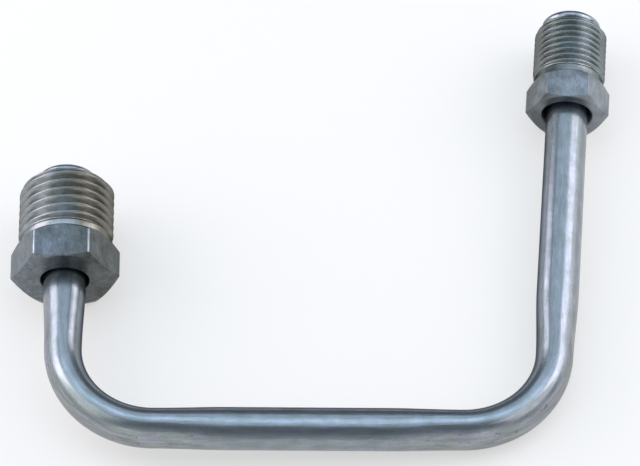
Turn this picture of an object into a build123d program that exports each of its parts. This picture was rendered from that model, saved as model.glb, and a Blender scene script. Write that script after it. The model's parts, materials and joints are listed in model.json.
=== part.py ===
from build123d import *
import os
from math import cos, radians, sin, sqrt, tan

# Rigid brake line: one steel tube with two bends in one plane, a double flare at each end, and a
# loose flare nut of a different size behind each flare. It lies on a floor at Z = 0, as it would
# come to rest: on a flat of each nut's hexagon and on the tube's bend next to the small nut's leg.
# All sizes are in millimetres and degrees.

# Tube
tube_od = 6.35
tube_wall = 0.71
bend_radius = 13.7  # to the tube's centreline
bend_width = 5.6  # across the tube in the plane of the line, where bending has flattened it
fade_length = 11.0  # straight tube beside a bend in which the flattened section turns round again

# Straight stretches and bends, in order from the large nut to the small one
large_leg_straight = 11.8  # back of the large nut to the bend
large_bend_angle = 89.2
base_straight = 45.5  # between the bends
small_bend_angle = 86.1
small_leg_straight = 42.9  # bend to the back of the small nut

# Double flare, the same on both ends
flare_od = 9.1
flare_angle = 45.0  # of the cone to the tube's axis
fold_end_inset = 0.14  # the folded layer ends this far outside the bore's wall

# Large nut
large_hex_flats = 14.29  # across flats
large_hex_length = 5.7
large_neck_od = 13.7
large_neck_length = 0.8
large_thread_od = 14.29
large_thread_length = 9.66  # from the neck to the nose, with the lead chamfer
large_thread_lead = 0.9
large_mouth_od = 7.4  # rear end of the bore
large_flare_reach = 2.05  # how far the flare's lip stands out of the nut's nose

# Small nut
small_hex_flats = 11.11
small_hex_length = 5.1
small_neck_od = 10.1
small_neck_length = 1.1
small_thread_od = 11.11
small_thread_length = 9.17
small_thread_lead = 0.7
small_mouth_od = 7.9
small_flare_reach = 1.7

# Both nuts
face_inset = 0.15  # the round face of the hexagon lies this far inside its flats
rear_chamfer_angle = 25.0  # of the hexagon's corner chamfers to its end faces
front_chamfer_angle = 40.0
mouth_depth = 1.2
bore_clearance = 0.15  # between the tube and the bore, all round
seat_clearance = 0.08  # between the flare's back cone and the seat in the nose

# Tube sections
tube_radius = tube_od / 2
bore_radius = tube_radius - tube_wall
flat_half_width = bend_width / 2
flat_half_height = sqrt(2 * tube_radius**2 - flat_half_width**2)  # keeps the girth of the round tube

# Flare in section, radius first and then distance along the axis, from 0 at the lip's front
flare_slope = tan(radians(flare_angle))
lip_radius = tube_wall
lip_centre_r = flare_od / 2 - lip_radius
back_r = lip_centre_r + lip_radius * cos(radians(flare_angle))
back_y = -lip_radius - lip_radius * sin(radians(flare_angle))
front_r = lip_centre_r - lip_radius * cos(radians(flare_angle))
front_y = -lip_radius + lip_radius * sin(radians(flare_angle))
round_reach = 4 / 3 * lip_radius  # from the lip's two ends to the control points of its half-round curve
round_r = round_reach * sin(radians(flare_angle))
round_y = round_reach * cos(radians(flare_angle))
flare_length = -back_y + (back_r - tube_radius) / flare_slope
fold_end_r = bore_radius + fold_end_inset
fold_end_y = front_y - (front_r - fold_end_r) / flare_slope
layer_r = tube_radius - tube_wall * cos(radians(flare_angle))
layer_y = -flare_length + tube_wall * sin(radians(flare_angle))
inner_bend_y = layer_y - (layer_r - bore_radius) / flare_slope

# Lengths along each leg, counted from the end of its bend
large_nut_length = large_hex_length + large_neck_length + large_thread_length
small_nut_length = small_hex_length + small_neck_length + small_thread_length
large_leg = large_leg_straight + large_nut_length + large_flare_reach - flare_length
small_leg = small_leg_straight + small_nut_length + small_flare_reach - flare_length

# Centreline on its own flat plane: the base along X, both legs towards +Y
with BuildLine() as route:
    base = Line((0, 0), (base_straight, 0))
    small_bend = JernArc(base @ 1, base % 1, bend_radius, small_bend_angle)
    small_run = Line(small_bend @ 1, small_bend @ 1 + (small_bend % 1) * small_leg)
    large_bend = JernArc(base @ 0, (base % 0) * -1, bend_radius, -large_bend_angle)
    large_run = Line(large_bend @ 1, large_bend @ 1 + (large_bend % 1) * large_leg)


def along(run, distance):
    """Point on a leg's axis, at a distance from its bend."""
    return run @ 0 + (run % 0) * distance


# Floor under the flat line, through the three places where the line touches it
down = Vector(0, 0, -1)
under_large_nut = along(large_run, large_leg_straight) + down * (large_hex_flats / 2)
under_small_nut = along(small_run, small_leg_straight) + down * (small_hex_flats / 2)
under_bend = small_bend @ 0.5 + down * flat_half_height
floor_normal = (under_bend - under_large_nut).cross(under_small_nut - under_large_nut)


def floor_at(point):
    """Floor plane, seen from the flat line, with its origin below or on the given point."""
    return Plane(origin=point, x_dir=(1, 0, 0), z_dir=floor_normal)


# The floor's origin is under the middle of the whole line, as seen from above
level = floor_at(under_large_nut)
corner_large = large_hex_flats / 2 / cos(radians(30))
corner_small = small_hex_flats / 2 / cos(radians(30))
large_front = level.to_local_coords(along(large_run, large_leg_straight + large_hex_length / 2))
small_front = level.to_local_coords(along(small_run, small_leg_straight + small_hex_length / 2))
small_tip = level.to_local_coords(along(small_run, small_leg + flare_length))
lip_rise = lip_centre_r * cos(radians(small_bend_angle))  # the leaning lip's far side is higher
low_x = large_front.X - corner_large
high_x = small_front.X + corner_small
low_y = level.to_local_coords(base @ 0.5).Y - tube_radius
high_y = small_tip.Y + lip_rise
middle = level.from_local_coords(Vector((low_x + high_x) / 2, (low_y + high_y) / 2, 0))
floor = floor_at(middle)
lying = Plane(floor.location.inverse())  # the plane of the flat line, as it lies over the floor


def square_to(run, distance):
    """Plane across a straight or a bend at a distance along it, its X out of the line's plane."""
    share = distance / run.length
    flat = Plane(origin=run @ share, x_dir=(0, 0, 1), z_dir=run % share)
    return Plane(lying.location * flat.location)


def oval(plane, half_height, half_width):
    """Oval section of the tube on a plane across it."""
    with BuildSketch(plane) as section:
        Ellipse(half_height, half_width)
    return section.sketch


def disc(plane, radius):
    """Round section of the tube on a plane across it."""
    with BuildSketch(plane) as section:
        Circle(radius)
    return section.sketch


def fade(run, from_bend, to_round, inset, mode):
    """Stretch of tube between a bend's oval section and the round one."""
    flat_end = oval(square_to(run, from_bend), flat_half_height - inset, flat_half_width - inset)
    round_end = disc(square_to(run, to_round), tube_radius - inset)
    loft([flat_end, round_end], mode=mode)


def straight(run, start, end, inset, mode):
    """Round stretch of tube."""
    extrude(disc(square_to(run, start), tube_radius - inset), amount=end - start, mode=mode)


def bend(arc, turn, inset, mode):
    """Bend with its oval section, turned about the bend's own centre."""
    section = oval(square_to(arc, 0), flat_half_height - inset, flat_half_width - inset)
    centre = lying.from_local_coords(arc.arc_center)
    revolve(section, axis=Axis(centre, lying.z_dir), revolution_arc=turn, mode=mode)


def whole_tube(inset, mode):
    """The tube from flare to flare, its surface set in by inset all round."""
    for run, length in ((large_run, large_leg), (small_run, small_leg)):
        fade(run, 0, fade_length, inset, mode)
        straight(run, fade_length, length, inset, mode)
    bend(large_bend, -large_bend_angle, inset, mode)
    bend(small_bend, small_bend_angle, inset, mode)
    fade(base, 0, fade_length, inset, mode)
    straight(base, fade_length, base_straight - fade_length, inset, mode)
    fade(base, base_straight, base_straight - fade_length, inset, mode)


def axial_plane(run, distance):
    """Plane through a leg's axis, its X level and its Y along the axis, away from the bend."""
    place = square_to(run, distance)
    level_dir = place.z_dir.cross(Vector(0, 0, 1)).normalized()
    return Plane(origin=place.origin, x_dir=level_dir, z_dir=level_dir.cross(place.z_dir))


def double_flare(run, tip):
    """Tube end folded back into itself and spread to a cone, as a ring about the leg's axis."""
    plane = axial_plane(run, tip)
    with BuildSketch(plane) as section:
        with BuildLine():
            Line((front_r, front_y), (fold_end_r, fold_end_y))
            Polyline(
                (fold_end_r, fold_end_y),
                (fold_end_r, inner_bend_y + fold_end_inset / flare_slope),
                (bore_radius, inner_bend_y),
                (bore_radius, -flare_length),
                (tube_radius, -flare_length),
                (back_r, back_y),
            )
            Bezier(
                (back_r, back_y),
                (back_r + round_r, back_y + round_y),
                (front_r + round_r, front_y + round_y),
                (front_r, front_y),
            )
        make_face()
    revolve(section.sketch, axis=Axis(plane.origin, plane.y_dir))


def turned(plane, points, mode):
    """Solid of revolution about the plane's Y axis, from (radius, distance) points."""
    with BuildSketch(plane) as section:
        with BuildLine():
            Polyline(*points, close=True)
        make_face()
    revolve(section.sketch, axis=Axis(plane.origin, plane.y_dir), mode=mode)


def flare_nut(
    run, rear, flats, hex_length, neck_od, neck_length, thread_od, thread_length, lead, mouth_od, reach
):
    """Nut on a leg: hexagon, neck, threaded shank at its outside diameter, bore and seat."""
    plane = axial_plane(run, rear)
    face = Plane(origin=plane.origin, x_dir=plane.x_dir, z_dir=plane.y_dir)
    corner_r = flats / 2 / cos(radians(30))
    face_r = flats / 2 - face_inset
    rear_cut = (corner_r - face_r) * tan(radians(rear_chamfer_angle))
    front_cut = (corner_r - face_r) * tan(radians(front_chamfer_angle))
    neck_end = hex_length + neck_length
    nose = neck_end + thread_length
    run_out = (thread_od - neck_od) / 2
    bore_r = tube_radius + bore_clearance
    seat_r = tube_radius + (flare_length - reach) * flare_slope
    seat_r += seat_clearance / cos(radians(flare_angle))
    seat_depth = (seat_r - bore_r) / flare_slope

    with BuildSketch(face) as hexagon:
        RegularPolygon(flats / 2, 6, major_radius=False)
    extrude(hexagon.sketch, amount=hex_length)
    cone_points = [
        (0, 0),
        (face_r, 0),
        (corner_r, rear_cut),
        (corner_r, hex_length - front_cut),
        (face_r, hex_length),
        (0, hex_length),
    ]
    turned(plane, cone_points, Mode.INTERSECT)
    shank_points = [
        (0, hex_length),
        (neck_od / 2, hex_length),
        (neck_od / 2, neck_end),
        (thread_od / 2, neck_end + run_out),
        (thread_od / 2, nose - lead),
        (thread_od / 2 - lead, nose),
        (0, nose),
    ]
    turned(plane, shank_points, Mode.ADD)
    hole_points = [
        (0, 0),
        (mouth_od / 2, 0),
        (bore_r, mouth_depth),
        (bore_r, nose - seat_depth),
        (seat_r, nose),
        (0, nose),
    ]
    turned(plane, hole_points, Mode.SUBTRACT)


with BuildPart() as brake_tube:
    whole_tube(0, Mode.ADD)
    whole_tube(tube_wall, Mode.SUBTRACT)
    double_flare(large_run, large_leg + flare_length)
    double_flare(small_run, small_leg + flare_length)
brake_tube.part.label = "brake_tube"

with BuildPart() as large_tube_nut:
    flare_nut(
        large_run,
        large_leg_straight,
        large_hex_flats,
        large_hex_length,
        large_neck_od,
        large_neck_length,
        large_thread_od,
        large_thread_length,
        large_thread_lead,
        large_mouth_od,
        large_flare_reach,
    )
large_tube_nut.part.label = "large_tube_nut"

with BuildPart() as small_tube_nut:
    flare_nut(
        small_run,
        small_leg_straight,
        small_hex_flats,
        small_hex_length,
        small_neck_od,
        small_neck_length,
        small_thread_od,
        small_thread_length,
        small_thread_lead,
        small_mouth_od,
        small_flare_reach,
    )
small_tube_nut.part.label = "small_tube_nut"

os.makedirs("parts", exist_ok=True)
export_step(brake_tube.part, "parts/brake_tube.step")
export_step(large_tube_nut.part, "parts/large_tube_nut.step")
export_step(small_tube_nut.part, "parts/small_tube_nut.step")
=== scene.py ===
import bmesh
import bpy
import json
from math import ceil, cos, pi, radians, sin, sqrt, tan
from mathutils import Matrix, Vector


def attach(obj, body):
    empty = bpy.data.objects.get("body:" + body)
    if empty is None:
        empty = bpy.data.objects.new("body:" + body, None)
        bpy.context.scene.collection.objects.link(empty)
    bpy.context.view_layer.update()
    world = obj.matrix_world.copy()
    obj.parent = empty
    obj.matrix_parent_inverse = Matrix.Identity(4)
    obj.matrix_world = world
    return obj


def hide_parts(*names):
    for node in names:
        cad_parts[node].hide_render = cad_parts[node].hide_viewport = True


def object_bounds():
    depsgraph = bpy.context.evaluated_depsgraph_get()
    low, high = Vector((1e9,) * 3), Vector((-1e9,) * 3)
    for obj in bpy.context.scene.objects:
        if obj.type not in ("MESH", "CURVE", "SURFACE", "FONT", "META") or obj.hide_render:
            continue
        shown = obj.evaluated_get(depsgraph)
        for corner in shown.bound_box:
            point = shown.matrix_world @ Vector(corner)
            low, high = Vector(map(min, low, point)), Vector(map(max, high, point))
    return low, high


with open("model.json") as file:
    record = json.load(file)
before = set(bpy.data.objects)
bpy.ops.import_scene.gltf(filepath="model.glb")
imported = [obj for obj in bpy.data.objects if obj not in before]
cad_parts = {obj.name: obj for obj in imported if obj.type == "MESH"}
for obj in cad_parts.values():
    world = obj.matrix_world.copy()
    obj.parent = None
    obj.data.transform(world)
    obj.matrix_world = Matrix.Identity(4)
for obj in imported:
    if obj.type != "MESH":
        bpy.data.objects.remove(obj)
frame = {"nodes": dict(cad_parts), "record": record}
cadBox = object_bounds()
print("frame loaded:", ", ".join(sorted(frame["nodes"])))

mm = 0.001  # sizes in the dictionaries are millimetres, Blender's are metres
weldGap = 0.001 * mm
mounts = {mount["name"]: mount for mount in frame["record"]["mounts"]}


def addNode(tree, kind, inputs=(), **settings):
    # inputs: values or nodes by position, or by socket name; a list joins several into one socket
    node = tree.nodes.new(kind)
    for name, value in settings.items():
        setattr(node, name, value)
    pairs = inputs.items() if isinstance(inputs, dict) else enumerate(inputs)
    for key, value in pairs:
        for source in value if isinstance(value, list) else [value]:
            if isinstance(source, bpy.types.Node):
                source = source.outputs[0]
            if isinstance(source, bpy.types.NodeSocket):
                tree.links.new(source, node.inputs[key])
            elif source is not None:
                node.inputs[key].default_value = source
    return node


def newTree(name, inputs):
    # a Geometry Nodes group with named inputs, given as name: kind of socket
    tree = bpy.data.node_groups.new(name, "GeometryNodeTree")
    tree.interface.new_socket("Geometry", in_out="INPUT", socket_type="NodeSocketGeometry")
    for socketName, kind in inputs.items():
        tree.interface.new_socket(socketName, in_out="INPUT", socket_type="NodeSocket" + kind)
    tree.interface.new_socket("Geometry", in_out="OUTPUT", socket_type="NodeSocketGeometry")
    return tree, addNode(tree, "NodeGroupInput").outputs


def runTree(name, mesh, tree, values):
    # lets the group work on the mesh and keeps the result as a plain mesh object
    piece = bpy.data.objects.new(name, mesh)
    bpy.context.scene.collection.objects.link(piece)
    modifier = piece.modifiers.new(tree.name, "NODES")
    modifier.node_group = tree
    for item in tree.interface.items_tree:
        if item.in_out == "INPUT" and item.name in values:
            modifier[item.identifier] = values[item.name]
    evaluated = piece.evaluated_get(bpy.context.evaluated_depsgraph_get())
    result = bpy.data.meshes.new_from_object(evaluated)
    piece.modifiers.remove(modifier)
    piece.data = result
    return piece


easeSteps = 3  # faces across a rounded corner


def eased(points, reaches):
    # an outline with its corners rounded; reach is the stretch taken off on each side of a corner
    outline = [points[0]]
    for before, corner, after, reach in zip(points, points[1:], points[2:], reaches):
        if not reach:
            outline.append(corner)
            continue
        first = corner + (before - corner).normalized() * reach
        last = corner + (after - corner).normalized() * reach
        for step in range(easeSteps + 1):
            share = step / easeSteps
            bend = corner * 2 * share * (1 - share)
            outline.append(first * (1 - share) ** 2 + bend + last * share**2)
    outline.append(points[-1])
    return outline


def addShell(build, columns):
    # a skin over columns of points that go once round, the last column beside the first
    rows = [[build.verts.new(point) for point in column] for column in columns]
    for k, column in enumerate(rows):
        following = rows[(k + 1) % len(rows)]
        for j in range(len(column) - 1):
            build.faces.new((column[j], following[j], following[j + 1], column[j + 1]))


def closeUp(mesh):
    # one closed skin, its faces outwards
    build = bmesh.new()
    build.from_mesh(mesh)
    bmesh.ops.remove_doubles(build, verts=build.verts, dist=weldGap)
    bmesh.ops.dissolve_degenerate(build, edges=build.edges, dist=weldGap)
    bmesh.ops.recalc_face_normals(build, faces=build.faces)
    openEdges = sum(1 for edge in build.edges if len(edge.link_faces) != 2)
    build.to_mesh(mesh)
    build.free()
    print("  ", mesh.name, len(mesh.polygons), "faces,", openEdges, "open edges")


def storeSpace(mesh, name, place):
    # keeps the points' places in the piece's own space, in metres, for its material
    layer = mesh.attributes.get(name) or mesh.attributes.new(name, "FLOAT_VECTOR", "POINT")
    for vertex, item in zip(mesh.vertices, layer.data):
        item.vector = place @ vertex.co


def matrixOf(xDir, yDir, zDir, origin):
    return Matrix((
        (xDir.x, yDir.x, zDir.x, origin.x),
        (xDir.y, yDir.y, zDir.y, origin.y),
        (xDir.z, yDir.z, zDir.z, origin.z),
        (0, 0, 0, 1),
    ))


# Tube's sizes in millimetres and degrees

tubeSizes = {
    "od": 6.35,
    "wall": 0.71,
    "bendRadius": 13.7,
    "bendWidth": 5.6,  # across the flattened tube, in the plane of the line
    "fadeLength": 11.0,  # from the flattened section back to the round one
    "largeLegStraight": 11.8,  # bend to nut
    "smallLegStraight": 42.9,
    "largeBendAngle": 89.2,
    "smallBendAngle": 86.1,
    "baseStraight": 45.5,
    "flareOd": 9.1,
    "flareAngle": 45.0,
    "backEase": 0.25,  # rounding between the tube and the back of the cone
    "foldEndInset": 0.14,  # step in the bore where the folded layer ends
    "foldEndEase": 0.08,
    "ringSpacing": 0.6,
    "ringPoints": 72,
    "arcPoints": 60,
    "lipSteps": 16,
}

# Double flare in section: radius, and distance from the front of the lip

flareSlope = tan(radians(tubeSizes["flareAngle"]))
lipRadius = tubeSizes["wall"]
lipCentre = Vector((tubeSizes["flareOd"] / 2 - lipRadius, -lipRadius))
lean = Vector((cos(radians(tubeSizes["flareAngle"])), -sin(radians(tubeSizes["flareAngle"]))))
backEnd = lipCentre + lean * lipRadius
frontEnd = lipCentre - lean * lipRadius
tubeRadius = tubeSizes["od"] / 2
boreRadius = tubeRadius - tubeSizes["wall"]
flareLength = -backEnd.y + (backEnd.x - tubeRadius) / flareSlope


# Nuts, sizes in millimetres and degrees

largeNutSizes = {
    "flats": 14.29,
    "hexLength": 5.7,
    "landOd": 14.0,  # smooth land between hexagon and thread
    "landLength": 0.7,
    "neckLength": 0.8,
    "threadOd": 14.29,
    "threadLength": 9.66,
    "pitch": 25.4 / 18,  # 18 threads per inch
    "firstCrest": 7.74,  # from the rear face, on the upper side
    "lead": 0.9,
    "mouthOd": 7.4,  # the bore's wider end at the rear face
    "mouthEase": 0.12,
    "flareReach": 2.05,  # the flare's lip in front of the nose
}

smallNutSizes = {
    "flats": 11.11,
    "hexLength": 5.1,
    "landOd": 10.5,
    "landLength": 1.1,
    "neckLength": 1.1,
    "threadOd": 11.11,
    "threadLength": 9.17,
    "pitch": 25.4 / 24,
    "firstCrest": 6.9,
    "lead": 0.7,
    "mouthOd": 7.9,
    "mouthEase": 0.3,
    "flareReach": 1.7,
}

nutSizes = {  # what both nuts share
    "faceInset": 0.15,  # round end face inside the flats
    "rearChamferAngle": 25.0,
    "frontChamferAngle": 40.0,
    "mouthDepth": 1.2,
    "boreClearance": 0.15,
    "seatClearance": 0.08,
    "cornerRadius": 0.22,  # between two flats
    "noseEase": 0.06,
    "boreEase": 0.3,
    "faceEase": 0.04,
    "hexEdgeEase": 0.07,
    "landEase": 0.1,
    "threadDepth": 0.6134,  # unified thread with its root a little rounded, in pitches
    "flatShare": 0.125,  # flat at the thread's crest and root, in pitches
    "runOut": 0.8,  # in which the thread fades into the land, in pitches
    "ringPoints": 144,
    "threadRows": 16,  # across one pitch
}


def noseAt(sizes):
    return sizes["hexLength"] + sizes["neckLength"] + sizes["threadLength"]


def flatEndTurn(halfFlats, rounding):
    # turn at which the flat ends and the corner's rounding starts
    halfWidth = (halfFlats - rounding) * tan(radians(30))
    return Vector((halfFlats, halfWidth)).angle(Vector((1, 0)))


def hexRadius(flats, turn):
    # distance from the axis to the hexagon's side; turn is from the middle of the nearest flat
    halfFlats = flats / 2
    rounding = nutSizes["cornerRadius"]
    toCorner = radians(30) - abs(turn)
    arcCentre = (halfFlats - rounding) / cos(radians(30))
    flatEnd = flatEndTurn(halfFlats, rounding)
    if abs(turn) <= flatEnd:
        return halfFlats / cos(turn)
    return arcCentre * cos(toCorner) + sqrt(rounding**2 - (arcCentre * sin(toCorner)) ** 2)


def hexTurns(flats):
    # turns of the columns over one flat: close together at its corners, even between them
    flatEnd = flatEndTurn(flats / 2, nutSizes["cornerRadius"])
    perFlat = nutSizes["ringPoints"] // 6
    cornerSteps = 3
    cornerTurns = [
        flatEnd + (radians(30) - flatEnd) * step / cornerSteps for step in range(cornerSteps + 1)
    ]
    flatCount = perFlat - 2 * cornerSteps
    flatTurns = [-flatEnd + 2 * flatEnd * step / flatCount for step in range(flatCount + 1)]
    return [-turn for turn in cornerTurns[:0:-1]] + flatTurns + cornerTurns[1:-1]


def nutColumns(sizes):
    # the nut without its thread: nose, seat, bore, mouth, rear face, hexagon and land
    nose = noseAt(sizes)
    cornerR = sizes["flats"] / 2 / cos(radians(30))
    faceR = sizes["flats"] / 2 - nutSizes["faceInset"]
    boreR = tubeRadius + nutSizes["boreClearance"]
    seatR = tubeRadius + (flareLength - sizes["flareReach"]) * flareSlope
    seatR += nutSizes["seatClearance"] / cos(radians(tubeSizes["flareAngle"]))
    rearSlope = tan(radians(nutSizes["rearChamferAngle"]))
    frontSlope = tan(radians(nutSizes["frontChamferAngle"]))
    threadStart = sizes["hexLength"] + sizes["landLength"]
    turns = hexTurns(sizes["flats"])
    count = nutSizes["ringPoints"]
    perFlat = count // 6
    columns = []
    for k in range(count):
        even = 2 * pi * k / count
        # columns run from the middle of one corner to the next; the first even column is on a flat
        place = (k + perFlat // 2) % perFlat
        turn = turns[place]
        hexagonal = radians(60) * ((k + perFlat // 2) // perFlat) + turn
        wall = hexRadius(sizes["flats"], turn)
        outline = [
            Vector((sizes["threadOd"] / 2 - sizes["lead"], nose)),
            Vector((seatR, nose)),
            Vector((boreR, nose - (seatR - boreR) / flareSlope)),
            Vector((boreR, nutSizes["mouthDepth"])),
            Vector((sizes["mouthOd"] / 2, 0)),
            Vector((faceR, 0)),
            Vector((wall, (wall - faceR) * rearSlope)),
            Vector((wall, sizes["hexLength"] - (wall - faceR) * frontSlope)),
            Vector((faceR, sizes["hexLength"])),
            Vector((sizes["landOd"] / 2, sizes["hexLength"])),
            Vector((sizes["landOd"] / 2, threadStart)),
        ]
        reaches = [
            nutSizes["noseEase"], 0, nutSizes["boreEase"], sizes["mouthEase"], nutSizes["faceEase"],
            nutSizes["hexEdgeEase"], nutSizes["hexEdgeEase"], nutSizes["faceEase"],
            nutSizes["landEase"],
        ]
        points = eased(outline, reaches)
        # the four corners from rear face to front face follow the hexagon, the rest is turned
        hexFirst = len(eased(outline[:6], reaches[:4])) - 1
        hexLast = hexFirst + 4 * (easeSteps + 1) - 1
        column = []
        for j, point in enumerate(points):
            angle = hexagonal if hexFirst <= j <= hexLast else even
            column.append(Vector((point.x * sin(angle), point.y, point.x * cos(angle))) * mm)
        columns.append(column)
    return columns


def threadTree():
    # cuts one right-hand thread as a band of one pitch that climbs round the shank
    tree, given = newTree("tubeNutThread", {
        "Major Radius": "Float",
        "Land Radius": "Float",
        "Pitch": "Float",
        "Depth": "Float",
        "Crest Share": "Float",
        "Root Share": "Float",
        "Start": "Float",
        "End": "Float",
        "Run Out": "Float",
        "Lead": "Float",
        "Band Start": "Float",
        "Turns": "Int",
        "Turn Points": "Int",
        "Rows": "Int",
        "Weld Gap": "Float",
        "Material": "Material",
    })
    length = addNode(
        tree, "ShaderNodeMath", [given["Turns"], given["Turn Points"], 1.0], operation="MULTIPLY_ADD"
    )
    rows = addNode(tree, "ShaderNodeMath", [given["Rows"], 1.0], operation="ADD")
    band = addNode(tree, "GeometryNodeMeshGrid", {
        "Size X": given["Turns"], "Size Y": 1.0, "Vertices X": length, "Vertices Y": rows,
    })
    position = addNode(tree, "GeometryNodeInputPosition")
    flat = addNode(tree, "ShaderNodeSeparateXYZ", [position])
    halfTurns = addNode(tree, "ShaderNodeMath", [given["Turns"], 0.5], operation="MULTIPLY")
    turn = addNode(tree, "ShaderNodeMath", [flat.outputs["X"], halfTurns], operation="ADD")
    climb = addNode(tree, "ShaderNodeMath", [turn, flat.outputs["Y"]], operation="ADD")
    middle = addNode(tree, "ShaderNodeMath", [climb, 0.5], operation="ADD")
    rise = addNode(
        tree, "ShaderNodeMath", [middle, given["Pitch"], given["Band Start"]], operation="MULTIPLY_ADD"
    )
    along = addNode(tree, "ShaderNodeClamp", {"Value": rise, "Min": given["Start"], "Max": given["End"]})

    fromCrest = addNode(tree, "ShaderNodeMath", [flat.outputs["Y"]], operation="ABSOLUTE")
    doubled = addNode(tree, "ShaderNodeMath", [fromCrest, 2.0], operation="MULTIPLY")
    rootEdge = addNode(tree, "ShaderNodeMath", [1.0, given["Root Share"]], operation="SUBTRACT")
    drop = addNode(tree, "ShaderNodeMapRange", {
        "Value": doubled, "From Min": given["Crest Share"], "From Max": rootEdge,
        "To Min": 0.0, "To Max": given["Depth"],
    })
    runOutEnd = addNode(tree, "ShaderNodeMath", [given["Start"], given["Run Out"]], operation="ADD")
    cut = addNode(tree, "ShaderNodeMapRange", {
        "Value": along, "From Min": given["Start"], "From Max": runOutEnd,
        "To Min": 0.0, "To Max": 1.0,
    }, interpolation_type="SMOOTHSTEP")
    outer = addNode(tree, "ShaderNodeMapRange", {
        "Value": cut, "To Min": given["Land Radius"], "To Max": given["Major Radius"],
    })
    depth = addNode(tree, "ShaderNodeMath", [drop, cut], operation="MULTIPLY")
    threadRadius = addNode(tree, "ShaderNodeMath", [outer, depth], operation="SUBTRACT")
    toEnd = addNode(tree, "ShaderNodeMath", [given["End"], along], operation="SUBTRACT")
    noseRadius = addNode(
        tree, "ShaderNodeMath", [given["Major Radius"], given["Lead"]], operation="SUBTRACT"
    )
    leadRadius = addNode(tree, "ShaderNodeMath", [noseRadius, toEnd], operation="ADD")
    radius = addNode(tree, "ShaderNodeMath", [threadRadius, leadRadius], operation="MINIMUM")

    angle = addNode(tree, "ShaderNodeMath", [turn, 2 * pi], operation="MULTIPLY")
    sine = addNode(tree, "ShaderNodeMath", [angle], operation="SINE")
    cosine = addNode(tree, "ShaderNodeMath", [angle], operation="COSINE")
    x = addNode(tree, "ShaderNodeMath", [radius, sine], operation="MULTIPLY")
    z = addNode(tree, "ShaderNodeMath", [radius, cosine], operation="MULTIPLY")
    point = addNode(tree, "ShaderNodeCombineXYZ", [x, along, z])
    thread = addNode(tree, "GeometryNodeSetPosition", {"Geometry": band, "Position": point})
    whole = addNode(tree, "GeometryNodeJoinGeometry", [[given["Geometry"], thread.outputs[0]]])
    welded = addNode(
        tree, "GeometryNodeMergeByDistance", {"Geometry": whole, "Distance": given["Weld Gap"]}
    )
    kept = addNode(
        tree, "GeometryNodeStoreNamedAttribute",
        {"Geometry": welded, "Name": "nutSpace", "Value": addNode(tree, "GeometryNodeInputPosition")},
        data_type="FLOAT_VECTOR", domain="POINT",
    )
    smooth = addNode(tree, "GeometryNodeSetShadeSmooth", [kept])
    real = addNode(tree, "GeometryNodeRealizeInstances", [smooth])
    coated = addNode(tree, "GeometryNodeSetMaterial", {"Geometry": real, "Material": given["Material"]})
    addNode(tree, "NodeGroupOutput", [coated])
    return tree


def makeNut(name, sizes, tip, axis, tree, material):
    build = bmesh.new()
    addShell(build, nutColumns(sizes))
    blank = bpy.data.meshes.new(name + "Blank")
    build.to_mesh(blank)
    build.free()
    nose = noseAt(sizes)
    start = sizes["hexLength"] + sizes["landLength"]
    pitch = sizes["pitch"]
    below = ceil((sizes["firstCrest"] - start) / pitch) + 1  # whole turns kept behind the first crest
    bandStart = sizes["firstCrest"] - pitch * (0.5 + below)
    nut = runTree(name, blank, tree, {
        "Major Radius": sizes["threadOd"] / 2 * mm,
        "Land Radius": sizes["landOd"] / 2 * mm,
        "Pitch": pitch * mm,
        "Depth": nutSizes["threadDepth"] * pitch * mm,
        "Crest Share": nutSizes["flatShare"],
        "Root Share": nutSizes["flatShare"],
        "Start": start * mm,
        "End": nose * mm,
        "Run Out": nutSizes["runOut"] * pitch * mm,
        "Lead": sizes["lead"] * mm,
        "Band Start": bandStart * mm,
        "Turns": ceil((nose - bandStart) / pitch) + 1,
        "Turn Points": nutSizes["ringPoints"],
        "Rows": nutSizes["threadRows"],
        "Weld Gap": weldGap,
        "Material": material,
    })
    level = axis.cross(Vector((0, 0, 1))).normalized()
    rear = tip - axis * (sizes["flareReach"] + nose) * mm
    nut.data.transform(matrixOf(level, axis, level.cross(axis), rear))
    nut.data.name = name
    closeUp(nut.data)
    nut.data.shade_smooth()
    facing = nut.modifiers.new("flatsStayFlat", "WEIGHTED_NORMAL")
    facing.mode = "FACE_AREA"
    facing.weight = 100
    facing.keep_sharp = False
    return nut


# Where the line lies: its two legs come from the part's flares

def legOf(mountName):
    mount = mounts[mountName]
    return Vector(mount["pos_m"]), Vector(mount["axis"]).normalized()


def cornerOf(tip, axis, nut, straight, angle):
    # where the leg's axis meets the base's axis, past the bend
    tangentLength = tubeSizes["bendRadius"] * tan(radians(angle) / 2)
    return tip - axis * (nut["flareReach"] + noseAt(nut) + straight + tangentLength) * mm


largeTip, largeAxis = legOf("large_end_flare")
smallTip, smallAxis = legOf("small_end_flare")
largeCorner = cornerOf(
    largeTip, largeAxis, largeNutSizes, tubeSizes["largeLegStraight"], tubeSizes["largeBendAngle"]
)
smallCorner = cornerOf(
    smallTip, smallAxis, smallNutSizes, tubeSizes["smallLegStraight"], tubeSizes["smallBendAngle"]
)
baseDir = (smallCorner - largeCorner).normalized()
lineUp = baseDir.cross(smallAxis).normalized()
linePlace = matrixOf(baseDir, lineUp.cross(baseDir), lineUp, largeCorner)


# Tube

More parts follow.
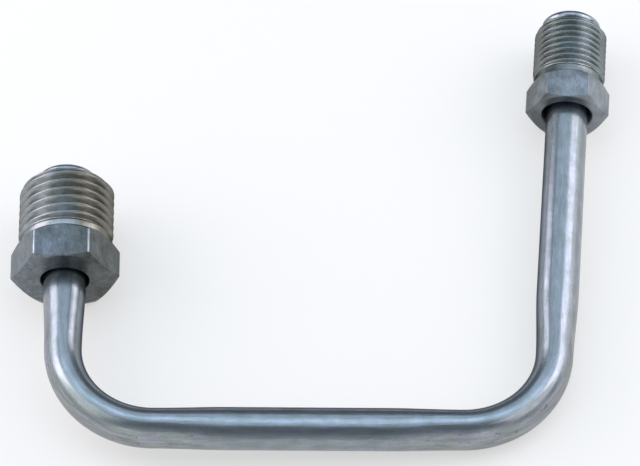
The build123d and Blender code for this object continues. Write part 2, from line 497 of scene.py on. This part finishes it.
def tubeTree():
    # sweeps an oval along the route's rounded corners; the oval turns round beside each bend
    tree, given = newTree("bentTube", {
        "Bend Radius": "Float",
        "Tube Radius": "Float",
        "Wall": "Float",
        "Bend Half Width": "Float",
        "Bend Half Height": "Float",
        "Fade Length": "Float",
        "First Bend Start": "Float",
        "First Bend End": "Float",
        "Second Bend Start": "Float",
        "Second Bend End": "Float",
        "Ring Spacing": "Float",
        "Ring Points": "Int",
        "Arc Points": "Int",
        "Material": "Material",
    })
    route = addNode(tree, "GeometryNodeMeshToCurve", [given["Geometry"]])
    rounded = addNode(
        tree, "GeometryNodeFilletCurve",
        {"Curve": route, "Count": given["Arc Points"], "Radius": given["Bend Radius"]}, mode="POLY",
    )
    rings = addNode(
        tree, "GeometryNodeResampleCurve",
        {"Curve": rounded, "Length": given["Ring Spacing"]}, mode="LENGTH",
    )
    upright = addNode(tree, "GeometryNodeSetCurveNormal", [rings], mode="Z_UP")
    centres = addNode(tree, "GeometryNodeCaptureAttribute", [upright])
    for name, kind, source in (
        ("centre", "VECTOR", addNode(tree, "GeometryNodeInputPosition").outputs["Position"]),
        ("side", "VECTOR", addNode(tree, "GeometryNodeInputNormal").outputs["Normal"]),
        ("station", "FLOAT", addNode(tree, "GeometryNodeSplineParameter").outputs["Length"]),
    ):
        centres.capture_items.new(kind, name)
        tree.links.new(source, centres.inputs[name])
    circle = addNode(
        tree, "GeometryNodeCurvePrimitiveCircle",
        {"Resolution": given["Ring Points"], "Radius": given["Tube Radius"]}, mode="RADIUS",
    )
    around = addNode(tree, "GeometryNodeCaptureAttribute", [circle])
    around.capture_items.new("FLOAT", "share")
    factor = addNode(tree, "GeometryNodeSplineParameter").outputs["Factor"]
    tree.links.new(factor, around.inputs["share"])
    skin = addNode(tree, "GeometryNodeCurveToMesh", {"Curve": centres, "Profile Curve": around})

    station = centres.outputs["station"]
    flatness = []
    for bend in ("First Bend", "Second Bend"):
        before = addNode(tree, "ShaderNodeMath", [given[bend + " Start"], station], operation="SUBTRACT")
        after = addNode(tree, "ShaderNodeMath", [station, given[bend + " End"]], operation="SUBTRACT")
        away = addNode(tree, "ShaderNodeMath", [before, after], operation="MAXIMUM")
        flatness.append(addNode(
            tree, "ShaderNodeMapRange",
            {"Value": away, "From Max": given["Fade Length"], "To Min": 1.0, "To Max": 0.0},
            interpolation_type="SMOOTHSTEP",
        ))
    flattened = addNode(tree, "ShaderNodeMath", flatness, operation="MAXIMUM")
    angle = addNode(tree, "ShaderNodeMath", [around.outputs["share"], 2 * pi], operation="MULTIPLY")
    cosine = addNode(tree, "ShaderNodeMath", [angle], operation="COSINE")
    sine = addNode(tree, "ShaderNodeMath", [angle], operation="SINE")

    skins = []  # outside, then bore
    for inset in (0.0, given["Wall"]):
        halves = []
        for size, turn in (("Bend Half Width", cosine), ("Bend Half Height", sine)):
            half = addNode(
                tree, "ShaderNodeMapRange",
                {"Value": flattened, "To Min": given["Tube Radius"], "To Max": given[size]},
            )
            inner = addNode(tree, "ShaderNodeMath", [half, inset], operation="SUBTRACT")
            halves.append(addNode(tree, "ShaderNodeMath", [inner, turn], operation="MULTIPLY"))
        sideways = addNode(
            tree, "ShaderNodeVectorMath",
            {0: centres.outputs["side"], "Scale": halves[0]}, operation="SCALE",
        )
        upwards = addNode(
            tree, "ShaderNodeVectorMath", {0: (0, 0, 1), "Scale": halves[1]}, operation="SCALE"
        )
        offset = addNode(tree, "ShaderNodeVectorMath", [sideways, upwards], operation="ADD")
        point = addNode(
            tree, "ShaderNodeVectorMath", [centres.outputs["centre"], offset], operation="ADD"
        )
        placed = addNode(tree, "GeometryNodeSetPosition", {"Geometry": skin, "Position": point})
        straight = addNode(tree, "ShaderNodeCombineXYZ", [*halves, station])
        skins.append(addNode(
            tree, "GeometryNodeStoreNamedAttribute",
            {"Geometry": placed, "Name": "tubeSpace", "Value": straight},
            data_type="FLOAT_VECTOR", domain="POINT",
        ))
    both = addNode(tree, "GeometryNodeJoinGeometry", [skins])
    bends = addNode(
        tree, "GeometryNodeStoreNamedAttribute",
        {"Geometry": both, "Name": "flattened", "Value": flattened}, data_type="FLOAT", domain="POINT",
    )
    smooth = addNode(tree, "GeometryNodeSetShadeSmooth", [bends])
    real = addNode(tree, "GeometryNodeRealizeInstances", [smooth])
    coated = addNode(tree, "GeometryNodeSetMaterial", {"Geometry": real, "Material": given["Material"]})
    addNode(tree, "NodeGroupOutput", [coated])
    return tree


def flareColumns(tip, axis, side):
    # the folded end, from the tube's outside round the lip and back to its bore
    foldEndR = boreRadius + tubeSizes["foldEndInset"]
    layerY = -flareLength + tubeSizes["wall"] * sin(radians(tubeSizes["flareAngle"]))
    layerR = tubeRadius - tubeSizes["wall"] * cos(radians(tubeSizes["flareAngle"]))
    bendY = layerY - (layerR - boreRadius) / flareSlope
    start = Vector((tubeRadius, -flareLength - tubeSizes["backEase"]))
    outline = eased(
        [start, Vector((tubeRadius, -flareLength)), backEnd],
        [tubeSizes["backEase"] * 0.9],  # a short straight is left where it meets the tube
    )
    startTurn = -radians(tubeSizes["flareAngle"])
    for step in range(1, tubeSizes["lipSteps"] + 1):
        turn = startTurn + pi * step / tubeSizes["lipSteps"]
        outline.append(lipCentre + Vector((cos(turn), sin(turn))) * lipRadius)
    foldEnd = Vector((foldEndR, frontEnd.y - (frontEnd.x - foldEndR) / flareSlope))
    inner = Vector((foldEndR, bendY + tubeSizes["foldEndInset"] / flareSlope))
    bore = Vector((boreRadius, bendY))
    end = Vector((boreRadius, start.y))
    outline += eased([frontEnd, foldEnd, inner, bore, end], [tubeSizes["foldEndEase"], 0, 0])[1:]
    up = side.cross(axis)
    count = tubeSizes["ringPoints"]
    columns = []
    for k in range(count):
        out = side * cos(2 * pi * k / count) + up * sin(2 * pi * k / count)
        columns.append([tip + (out * point.x + axis * point.y) * mm for point in outline])
    return columns


def makeTube(material):
    toFlare = flareLength + tubeSizes["backEase"]
    arcs = [
        radians(tubeSizes[name]) * tubeSizes["bendRadius"]
        for name in ("largeBendAngle", "smallBendAngle")
    ]
    largeNutEnd = noseAt(largeNutSizes) + largeNutSizes["flareReach"]
    firstStart = tubeSizes["largeLegStraight"] + largeNutEnd - toFlare
    secondStart = firstStart + arcs[0] + tubeSizes["baseStraight"]
    points = [
        largeTip - largeAxis * toFlare * mm,
        largeCorner,
        smallCorner,
        smallTip - smallAxis * toFlare * mm,
    ]
    toFlat = linePlace.inverted()
    route = bpy.data.meshes.new("route")
    route.from_pydata([toFlat @ point for point in points], [(0, 1), (1, 2), (2, 3)], [])
    halfWidth = tubeSizes["bendWidth"] / 2
    tube = runTree("brakeTube", route, tubeTree(), {
        "Bend Radius": tubeSizes["bendRadius"] * mm,
        "Tube Radius": tubeRadius * mm,
        "Wall": tubeSizes["wall"] * mm,
        "Bend Half Width": halfWidth * mm,
        "Bend Half Height": sqrt(2 * tubeRadius**2 - halfWidth**2) * mm,
        "Fade Length": tubeSizes["fadeLength"] * mm,
        "First Bend Start": firstStart * mm,
        "First Bend End": (firstStart + arcs[0]) * mm,
        "Second Bend Start": secondStart * mm,
        "Second Bend End": (secondStart + arcs[1]) * mm,
        "Ring Spacing": tubeSizes["ringSpacing"] * mm,
        "Ring Points": tubeSizes["ringPoints"],
        "Arc Points": tubeSizes["arcPoints"],
        "Material": material,
    })
    mesh = tube.data
    mesh.transform(linePlace)
    # the flares are welded to the tube's open ends
    for tip, axis in ((largeTip, largeAxis), (smallTip, smallAxis)):
        side = axis.cross(lineUp)
        build = bmesh.new()
        addShell(build, flareColumns(tip, axis, side))
        flare = bpy.data.meshes.new("flare")
        build.to_mesh(flare)
        build.free()
        storeSpace(flare, "tubeSpace", matrixOf(side, lineUp, axis, tip).inverted())
        build = bmesh.new()
        build.from_mesh(mesh)
        build.from_mesh(flare)
        build.to_mesh(mesh)
        build.free()
    mesh.name = "brakeTube"
    mesh.materials.clear()
    mesh.materials.append(material)
    closeUp(mesh)
    mesh.shade_smooth()
    return tube


# Finishes

def linearColour(text):
    # an sRGB hex value as Blender's linear colour
    channels = [int(text[i:i + 2], 16) / 255 for i in (1, 3, 5)]
    linear = [c / 12.92 if c <= 0.04045 else ((c + 0.055) / 1.055) ** 2.4 for c in channels]
    return (*linear, 1.0)


plainWhite = "#FFFFFF"


def newMaterial(name):
    material = bpy.data.materials.new(name)
    material.use_nodes = True
    tree = material.node_tree
    return material, tree, tree.nodes["Principled BSDF"]


tubeFinish = {  # lengths in millimetres
    "colour": "#949AA1",
    "cloudColour": "#8A9295",  # soft patches in the plating
    "stretchedColour": "#9A9BA3",  # the outer side of the bends and what lies beside it
    "streakColour": "#919896",
    "pitColour": "#626870",
    "paintedSlantShade": "#7C7C80",  # painted shade: darkens the inner side's reflections where it is seen at a slant, so it does not turn white
    "roughness": (0.20, 0.28),  # at the clearest and the cloudiest of the plating
    "stretchedRoughness": 0.40,
    "stretchedFrom": (0.2, 0.9),  # shares of the tube's radius, where it starts and is full
    "stretchedReach": 0.4,  # below 1 it reaches further along the tube than the flattening
    "cloudSize": 3.0,
    "lineWidth": 0.18,  # drawn coarser than real die lines, which would be too fine to show
    "lineLength": 9.0,
    "lineDepth": 0.011,
    "streakWidth": 0.6,
    "streakLength": 4.0,
    "streakContrast": 0.22,
    "plainStreaks": 0.5,  # share of them on the unbent tube
    "peelSize": 0.55,
    "peelDepth": 0.03,
    "plainPeel": 0.2,
    "pitLevel": (0.64, 0.74),  # heights of the peel's pattern between which a pit darkens
}


def drawnSteel():
    # Cold-drawn low-carbon steel tube with a thin bright plating: it gives the eye long, soft-edged
    # reflections broken by faint lines and streaks along the tube. Bending has stretched its outer
    # side, which looks duller, grained like orange peel and lightly pitted.
    material, tree, shader = newMaterial("drawnSteelTube")
    space = addNode(tree, "ShaderNodeAttribute", attribute_name="tubeSpace")
    place = addNode(
        tree, "ShaderNodeVectorMath", {0: space.outputs["Vector"], "Scale": 1 / mm}, operation="SCALE"
    )
    across = addNode(tree, "ShaderNodeSeparateXYZ", [place])
    begins, full = (share * tubeRadius for share in tubeFinish["stretchedFrom"])
    outer = addNode(tree, "ShaderNodeMapRange", {
        "Value": across.outputs["X"], "From Min": begins, "From Max": full,
    }, interpolation_type="SMOOTHSTEP")
    bends = addNode(tree, "ShaderNodeAttribute", attribute_name="flattened")
    near = addNode(
        tree, "ShaderNodeMath", [bends.outputs["Fac"], tubeFinish["stretchedReach"]], operation="POWER"
    )
    stretched = addNode(tree, "ShaderNodeMath", [near, outer], operation="MULTIPLY")

    lineShare = tubeFinish["lineWidth"] / tubeFinish["lineLength"]
    drawn = addNode(tree, "ShaderNodeVectorMath", [place, (1, 1, lineShare)], operation="MULTIPLY")
    lines = addNode(tree, "ShaderNodeTexNoise", {
        "Vector": drawn, "Scale": 1 / tubeFinish["lineWidth"], "Detail": 3.0, "Roughness": 0.6,
    })
    cloud = addNode(tree, "ShaderNodeTexNoise", {
        "Vector": place, "Scale": 1 / tubeFinish["cloudSize"], "Detail": 3.0, "Roughness": 0.55,
    })
    peel = addNode(tree, "ShaderNodeTexNoise", {
        "Vector": place, "Scale": 1 / tubeFinish["peelSize"], "Detail": 2.0, "Roughness": 0.5,
    })
    pitStart, pitFull = tubeFinish["pitLevel"]
    pits = addNode(
        tree, "ShaderNodeMapRange", {"Value": peel, "From Min": pitStart, "From Max": pitFull}
    )
    streakShare = tubeFinish["streakWidth"] / tubeFinish["streakLength"]
    pulled = addNode(tree, "ShaderNodeVectorMath", [place, (1, 1, streakShare)], operation="MULTIPLY")
    streak = addNode(tree, "ShaderNodeTexNoise", {
        "Vector": pulled, "Scale": 1 / tubeFinish["streakWidth"], "Detail": 4.0, "Roughness": 0.7,
    })
    grained = addNode(tree, "ShaderNodeMapRange", {
        "Value": stretched, "To Min": tubeFinish["plainPeel"], "To Max": 1.0,
    })
    streaky = addNode(tree, "ShaderNodeMapRange", {
        "Value": stretched, "To Min": tubeFinish["plainStreaks"], "To Max": 1.0,
    })
    streakRange = addNode(
        tree, "ShaderNodeMath", [streaky, tubeFinish["streakContrast"]], operation="MULTIPLY"
    )
    streakTop = addNode(tree, "ShaderNodeMath", [1.0, streakRange], operation="ADD")
    streakBottom = addNode(tree, "ShaderNodeMath", [1.0, streakRange], operation="SUBTRACT")
    shade = addNode(tree, "ShaderNodeMapRange", {
        "Value": streak, "From Min": 0.35, "From Max": 0.65, "To Min": streakBottom, "To Max": streakTop,
    })

    tinged = addNode(tree, "ShaderNodeMapRange", {"Value": cloud, "From Min": 0.4, "From Max": 0.6})
    clouded, mottled = (
        addNode(tree, "ShaderNodeMix", {
            0: tinged, 6: linearColour(tubeFinish[plain]), 7: linearColour(tubeFinish[patch]),
        }, data_type="RGBA")
        for plain, patch in (("colour", "cloudColour"), ("stretchedColour", "streakColour"))
    )
    dulled = addNode(tree, "ShaderNodeMix", {
        0: stretched, 6: clouded.outputs[2], 7: mottled.outputs[2],
    }, data_type="RGBA")
    pitted = addNode(tree, "ShaderNodeMath", [pits, stretched], operation="MULTIPLY")
    colour = addNode(tree, "ShaderNodeMix", {
        0: pitted, 6: dulled.outputs[2], 7: linearColour(tubeFinish["pitColour"]),
    }, data_type="RGBA")
    shaded = addNode(
        tree, "ShaderNodeVectorMath", {0: colour.outputs[2], "Scale": shade}, operation="SCALE"
    )
    # painted shade: the inner side's slanting reflections take the dark tint, the other side keeps a
    # white tint
    edge = addNode(tree, "ShaderNodeMix", {
        0: outer, 6: linearColour(tubeFinish["paintedSlantShade"]), 7: linearColour(plainWhite),
    }, data_type="RGBA")
    low, high = tubeFinish["roughness"]
    bright = addNode(tree, "ShaderNodeMapRange", {
        "Value": cloud, "From Min": 0.3, "From Max": 0.7, "To Min": low, "To Max": high,
    })
    roughness = addNode(tree, "ShaderNodeMix", {
        0: stretched, 2: bright, 3: tubeFinish["stretchedRoughness"],
    }, data_type="FLOAT")
    scored = addNode(tree, "ShaderNodeBump", {
        "Strength": 1.0, "Distance": tubeFinish["lineDepth"] * mm, "Height": lines,
    })
    graining = addNode(tree, "ShaderNodeMath", [peel, grained], operation="MULTIPLY")
    rippled = addNode(tree, "ShaderNodeBump", {
        "Strength": 1.0, "Distance": tubeFinish["peelDepth"] * mm, "Height": graining, "Normal": scored,
    })
    tree.links.new(shaded.outputs[0], shader.inputs["Base Color"])
    tree.links.new(edge.outputs[2], shader.inputs["Specular Tint"])
    tree.links.new(roughness.outputs[0], shader.inputs["Roughness"])
    tree.links.new(rippled.outputs[0], shader.inputs["Normal"])
    shader.inputs["Metallic"].default_value = 1.0
    return material


nutFinish = {  # what both nuts share, lengths in millimetres
    "turnedBlend": 0.03,  # to each side of the edge between bar and turned surfaces
    "cornerWear": (0.13, 0.05),  # in from a sharp corner of the hexagon, where it starts and is full
    "grainStretch": 2.2,  # along the bar
    "markWidth": 0.14,  # drawn coarser than real drawing and turning marks, to show at all
    "markLength": 3.0,
}

largeNutFinish = {
    "barColour": "#72787E",
    # the stain colours also carry the painted shade on the side that faces into the U
    "barStain": "#595D5B",
    "turnedColour": "#9EA2A4",
    "turnedStain": "#86847B",
    "cornerColour": "#A9ADB2",
    "paintedSlantShade": "#707270",  # painted shade: darkens the turned surfaces' reflections where seen at a slant, so they do not turn white
    "barRoughness": 0.38,
    "turnedRoughness": 0.29,
    "cornerRoughness": 0.28,
    "stainSize": 5.0,
    "stainPlace": (14.0, 6.0, 1.0),  # shifts the pattern of the stain
    "paintedSideShade": 0.028,  # painted shade: how much heavier the stain grows per mm across the nut, towards its side that faces into the U
    "grainSize": 1.1,
    "grainContrast": (0.26, 0.13),  # on the bar and on the turned surfaces
    "markDepth": 0.007,
}

smallNutFinish = {
    "barColour": "#8D9399",
    # the stain colours also carry the painted shade on the side that faces into the U
    "barStain": "#606567",
    "turnedColour": "#939B9E",
    "turnedStain": "#7C807D",
    "cornerColour": "#84898F",
    # painted shade on the turned surfaces' slanting reflections, as on the large nut
    "paintedSlantShade": "#707270",
    "barRoughness": 0.36,
    "turnedRoughness": 0.27,
    "cornerRoughness": 0.42,
    "stainSize": 4.0,
    "stainPlace": (0.0, 0.0, 0.0),
    # painted shade, leaning the other way, so this nut too is darker on its side that faces into the U
    "paintedSideShade": -0.028,
    "grainSize": 1.0,
    "grainContrast": (0.20, 0.10),
    "markDepth": 0.006,
}


def zincPlatedSteel(name, finish, sizes):
    # Free-cutting steel, turned from hexagonal bar and zinc plated. The bar's own flats give the eye
    # a dull, grainy and stained grey, with drawing marks along them and corners rubbed bright; the
    # turned shank in front of them is brighter and smoother, with fine rings and a warm tinge.
    # The stain also grows heavier towards the side that faces into the U, which is painted shade.
    material, tree, shader = newMaterial(name)
    space = addNode(tree, "ShaderNodeAttribute", attribute_name="nutSpace")
    place = addNode(
        tree, "ShaderNodeVectorMath", {0: space.outputs["Vector"], "Scale": 1 / mm}, operation="SCALE"
    )
    along = addNode(tree, "ShaderNodeSeparateXYZ", [place])
    turned = addNode(tree, "ShaderNodeMapRange", {
        "Value": along.outputs["Y"],
        "From Min": sizes["hexLength"] - nutFinish["turnedBlend"],
        "From Max": sizes["hexLength"] + nutFinish["turnedBlend"],
    })
    across = addNode(tree, "ShaderNodeVectorMath", [place, (1, 0, 1)], operation="MULTIPLY")
    reach = addNode(tree, "ShaderNodeVectorMath", [across], operation="LENGTH")
    cornerR = sizes["flats"] / 2 / cos(radians(30))
    wearStart, wearFull = (cornerR - inset for inset in nutFinish["cornerWear"])
    corner = addNode(tree, "ShaderNodeMapRange", {
        "Value": reach.outputs["Value"], "From Min": wearStart, "From Max": wearFull,
    })
    markShare = nutFinish["markWidth"] / nutFinish["markLength"]
    lengthwise = addNode(tree, "ShaderNodeVectorMath", [place, (1, markShare, 1)], operation="MULTIPLY")
    ringwise = addNode(
        tree, "ShaderNodeVectorMath", [place, (markShare, 1, markShare)], operation="MULTIPLY"
    )
    direction = addNode(
        tree, "ShaderNodeMix", {0: turned, 4: lengthwise, 5: ringwise}, data_type="VECTOR"
    )
    marks = addNode(tree, "ShaderNodeTexNoise", {
        "Vector": direction.outputs[1], "Scale": 1 / nutFinish["markWidth"],
        "Detail": 3.0, "Roughness": 0.6,
    })
    stainPlace = addNode(tree, "ShaderNodeVectorMath", [place, finish["stainPlace"]], operation="ADD")
    stain = addNode(tree, "ShaderNodeTexNoise", {
        "Vector": stainPlace, "Scale": 1 / finish["stainSize"], "Detail": 4.0, "Roughness": 0.6,
    })
    # painted shade: the stain leans heavier across the nut, darkening its side that faces into the U
    stainWithSideShade = addNode(
        tree, "ShaderNodeMath", [along.outputs["X"], finish["paintedSideShade"], stain], operation="MULTIPLY_ADD"
    )
    stainAndSideShade = addNode(
        tree, "ShaderNodeMapRange", {"Value": stainWithSideShade, "From Min": 0.35, "From Max": 0.65}
    )
    drawn = addNode(
        tree, "ShaderNodeVectorMath", [place, (1, 1 / nutFinish["grainStretch"], 1)], operation="MULTIPLY"
    )
    grain = addNode(tree, "ShaderNodeTexNoise", {
        "Vector": drawn, "Scale": 1 / finish["grainSize"], "Detail": 4.0, "Roughness": 0.85,
    })
    barContrast, turnedContrast = finish["grainContrast"]
    contrast = addNode(tree, "ShaderNodeMix", {
        0: turned, 2: barContrast, 3: turnedContrast,
    }, data_type="FLOAT")
    darkest = addNode(tree, "ShaderNodeMath", [1.0, contrast.outputs[0]], operation="SUBTRACT")
    lightest = addNode(tree, "ShaderNodeMath", [1.0, contrast.outputs[0]], operation="ADD")
    speckle = addNode(tree, "ShaderNodeMapRange", {
        "Value": grain, "From Min": 0.37, "From Max": 0.63, "To Min": darkest, "To Max": lightest,
    })
    tones = []
    for kind in ("bar", "turned"):
        tones.append(addNode(tree, "ShaderNodeMix", {
            0: stainAndSideShade,
            6: linearColour(finish[kind + "Colour"]), 7: linearColour(finish[kind + "Stain"]),
        }, data_type="RGBA").outputs[2])
    tone = addNode(tree, "ShaderNodeMix", {0: turned, 6: tones[0], 7: tones[1]}, data_type="RGBA")
    rubbed = addNode(tree, "ShaderNodeMix", {
        0: corner, 6: tone.outputs[2], 7: linearColour(finish["cornerColour"]),
    }, data_type="RGBA")
    colour = addNode(
        tree, "ShaderNodeVectorMath", {0: rubbed.outputs[2], "Scale": speckle}, operation="SCALE"
    )
    roughness = addNode(tree, "ShaderNodeMix", {
        0: turned, 2: finish["barRoughness"], 3: finish["turnedRoughness"],
    }, data_type="FLOAT")
    polish = addNode(tree, "ShaderNodeMix", {
        0: corner, 2: roughness.outputs[0], 3: finish["cornerRoughness"],
    }, data_type="FLOAT")
    marked = addNode(tree, "ShaderNodeBump", {
        "Strength": 1.0, "Distance": finish["markDepth"] * mm, "Height": marks,
    })
    # painted shade: the turned surfaces' slanting reflections take the dark tint, the bar's flats keep a
    # white tint
    edge = addNode(tree, "ShaderNodeMix", {
        0: turned, 6: linearColour(plainWhite), 7: linearColour(finish["paintedSlantShade"]),
    }, data_type="RGBA")
    tree.links.new(colour.outputs[0], shader.inputs["Base Color"])
    tree.links.new(edge.outputs[2], shader.inputs["Specular Tint"])
    tree.links.new(polish.outputs[0], shader.inputs["Roughness"])
    tree.links.new(marked.outputs[0], shader.inputs["Normal"])
    shader.inputs["Metallic"].default_value = 1.0
    return material


# Pieces on their bodies

tube = makeTube(drawnSteel())
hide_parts("brake_tube")
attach(tube, "tube")
print("tube made")

thread = threadTree()
for name, sizes, tip, axis, finish, node, body in (
    ("largeNut", largeNutSizes, largeTip, largeAxis, largeNutFinish, "large_tube_nut", "large_nut"),
    ("smallNut", smallNutSizes, smallTip, smallAxis, smallNutFinish, "small_tube_nut", "small_nut"),
):
    nut = makeNut(name, sizes, tip, axis, thread, zincPlatedSteel(name + "Steel", finish, sizes))
    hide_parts(node)
    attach(nut, body)
    print(name, "made")


# Floor and light

studio = {  # floor in millimetres
    "floorSide": 6000.0,
    "floorColour": "#EBE6E0",
    "floorRoughness": 0.8,
    "whiteShare": 0.5,  # of the floor that shows plain white to the eye and to the metal
    "skirtColour": "#C2C8CD",
    "roomColour": "#7F8993",
    "skirtTilt": (0.0, 0.5, 1.0),  # height is measured upwards and half as much to the back
    "skirtFade": (-0.45, 0.3),  # heights between which the skirt fades into the room
}


def makeFloor():
    half = studio["floorSide"] / 2 * mm
    level = cadBox[0].z
    mesh = bpy.data.meshes.new("studioFloor")
    mesh.from_pydata(
        [(-half, -half, level), (half, -half, level), (half, half, level), (-half, half, level)],
        [], [(0, 1, 2, 3)],
    )
    floor = bpy.data.objects.new("studioFloor", mesh)
    bpy.context.scene.collection.objects.link(floor)
    material, tree, shader = newMaterial("paleFloorBoard")
    shader.inputs["Base Color"].default_value = linearColour(studio["floorColour"])
    shader.inputs["Roughness"].default_value = studio["floorRoughness"]
    rays = addNode(tree, "ShaderNodeLightPath").outputs
    seen = addNode(
        tree, "ShaderNodeMath", [rays["Is Camera Ray"], rays["Is Glossy Ray"]], operation="MAXIMUM"
    )
    seen = addNode(tree, "ShaderNodeMath", [seen, rays["Is Transmission Ray"]], operation="MAXIMUM")
    share = addNode(tree, "ShaderNodeMath", [seen, studio["whiteShare"]], operation="MULTIPLY")
    glow = addNode(
        tree, "ShaderNodeEmission", {"Color": linearColour(plainWhite), "Strength": 1.0}
    )
    board = addNode(tree, "ShaderNodeMixShader", [share, shader, glow])
    tree.links.new(board.outputs[0], tree.nodes["Material Output"].inputs["Surface"])
    mesh.materials.append(material)


softboxes = {
    # name: azimuth from straight behind the part, elevation, width and height in degrees as seen
    # from the part, distance, brightness, colour
    "skyBox": (0, 74, 68, 69, 900, 0.92, "#DCECFC"),
    "topBox": (0, 80, 60, 24, 900, 0.98, "#C2E3FF"),
    "leftBox": (-71, 26, 46, 34, 260, 2.7, "#F8F4FF"),
    "leftSide": (-106, 37, 50, 44, 900, 1.3, "#FFFFFF"),
    "rightBox": (71, 32, 38, 28, 240, 2.7, "#F8F4FF"),
    "rightLow": (66, 9, 32, 17, 900, 1.3, "#FFFFFF"),
    "rightSide": (107, 38, 46, 42, 900, 1.2, "#FFFFFF"),
    "frontLeft": (-157, 7, 20, 14, 900, 1.5, "#FFFFFF"),
    "frontRight": (160, 7, 16, 14, 900, 1.5, "#FFFFFF"),
}


def makeLights():
    for name, (azimuth, elevation, width, height, distance, brightness, colour) in softboxes.items():
        lamp = bpy.data.lights.new(name, "AREA")
        lamp.shape = "RECTANGLE"
        lamp.size, lamp.size_y = (
            2 * distance * mm * tan(radians(span) / 2) for span in (width, height)
        )
        lamp.energy = brightness * pi * lamp.size * lamp.size_y
        lamp.color = linearColour(colour)[:3]
        holder = bpy.data.objects.new(name, lamp)
        bpy.context.scene.collection.objects.link(holder)
        turn, rise = radians(azimuth), radians(elevation)
        away = Vector((sin(turn) * cos(rise), cos(turn) * cos(rise), sin(rise)))
        holder.location = away * distance * mm
        holder.rotation_euler = away.to_track_quat("Z", "Y").to_euler()


def makeWorld():
    # a pale surround low down in front, fading to a darker room above and behind
    world = bpy.data.worlds.new("studio")
    world.use_nodes = True
    bpy.context.scene.world = world
    tree = world.node_tree
    direction = addNode(tree, "ShaderNodeTexCoord")
    height = addNode(
        tree, "ShaderNodeVectorMath", [direction.outputs["Generated"], studio["skirtTilt"]],
        operation="DOT_PRODUCT",
    )
    fadeStart, fadeEnd = studio["skirtFade"]
    share = addNode(tree, "ShaderNodeMapRange", {
        "Value": height.outputs["Value"], "From Min": fadeStart, "From Max": fadeEnd,
    })
    colour = addNode(tree, "ShaderNodeMix", {
        0: share, 6: linearColour(studio["skirtColour"]), 7: linearColour(studio["roomColour"]),
    }, data_type="RGBA")
    tree.links.new(colour.outputs[2], tree.nodes["Background"].inputs["Color"])


makeFloor()
makeLights()
makeWorld()
print("floor and lights made")


# Camera at the photograph's viewing angle

cameraSizes = {  # millimetres and degrees; azimuth from straight in front of the part
    "target": (1.024, -0.770, 6.047),
    "distance": 636.0,
    "elevation": 54.908,
    "azimuth": 3.167,
    "roll": -3.496,
    "lens": 237.16,
    "sensor": 36.0,
    "clipStart": 10.0,
}


def makeCamera():
    elevation = radians(cameraSizes["elevation"])
    azimuth = radians(cameraSizes["azimuth"])
    roll = radians(cameraSizes["roll"])
    back = Vector((sin(azimuth) * cos(elevation), -cos(azimuth) * cos(elevation), sin(elevation)))
    level = Vector((cos(azimuth), sin(azimuth), 0))
    above = back.cross(level)
    right = level * cos(roll) + above * sin(roll)
    up = above * cos(roll) - level * sin(roll)
    camera = bpy.data.cameras.new("camera")
    camera.lens = cameraSizes["lens"]
    camera.sensor_width = cameraSizes["sensor"]
    camera.clip_start = cameraSizes["clipStart"] * mm
    holder = bpy.data.objects.new("camera", camera)
    eye = Vector(cameraSizes["target"]) + back * cameraSizes["distance"]
    holder.matrix_world = matrixOf(right, up, back, eye * mm)
    bpy.context.scene.collection.objects.link(holder)
    bpy.context.scene.camera = holder


makeCamera()
bpy.context.scene.view_settings.view_transform = "Standard"
print("camera made")
